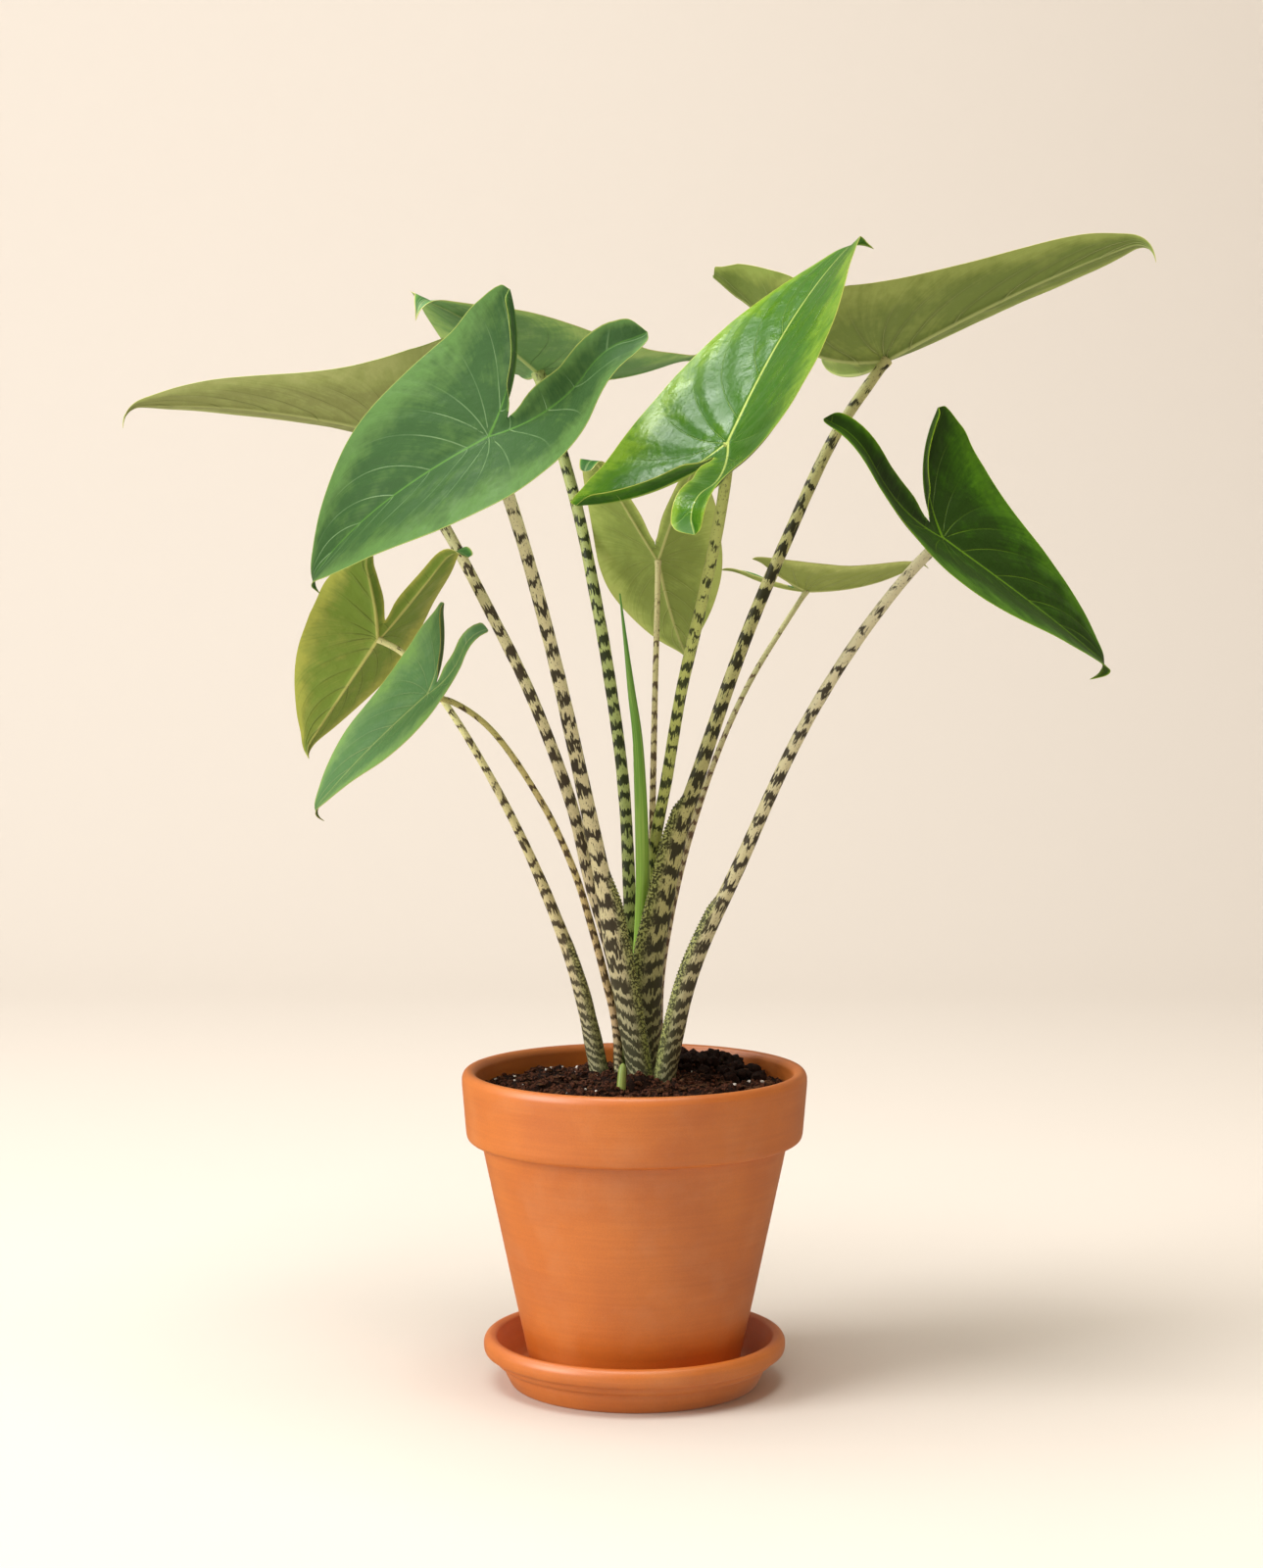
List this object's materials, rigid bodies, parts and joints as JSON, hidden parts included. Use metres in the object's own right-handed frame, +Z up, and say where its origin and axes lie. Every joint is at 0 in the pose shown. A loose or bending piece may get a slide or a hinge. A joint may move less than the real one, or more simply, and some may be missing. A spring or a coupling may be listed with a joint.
{
  "type": "potted elephant ear plant",
  "caption": "Alocasia zebrina in a terracotta pot on a saucer: arrow-shaped green leaves on tall zebra-banded stems over dark soil.",
  "frame": {"origin": "centre of the saucer's flat underside, on the surface that it stands on", "axes": "+Z up along the pot's axis; -Y towards the front of the plant, where the small shoot grows; +X to the right"},
  "size_m": [0.6277, 0.4277, 0.7014],
  "materials": {
    "clay": "matte",
    "soil": "matte",
    "corm": "matte",
    "stem": "satin",
    "blade": "satin",
    "young_leaf": "satin"
  },
  "bodies": {
    "root": {"saucer": "clay", "pot": "clay", "soil": "soil", "corm": "corm", "blade_front_left": "blade", "stem_front_left": "stem", "blade_back_left": "blade", "stem_back_left": "stem", "blade_back_centre": "blade", "stem_back_centre": "stem", "blade_front_right": "blade", "stem_front_right": "stem", "blade_back_right": "blade", "stem_back_right": "stem", "blade_right": "blade", "stem_right": "stem", "blade_mid_right": "blade", "stem_mid_right": "stem", "blade_centre": "blade", "stem_centre": "stem", "blade_lower_left": "blade", "stem_lower_left": "stem", "blade_small_left": "blade", "stem_small_left": "stem", "rolled_leaf": "young_leaf", "shoot": "young_leaf"}
  },
  "joints": []
}
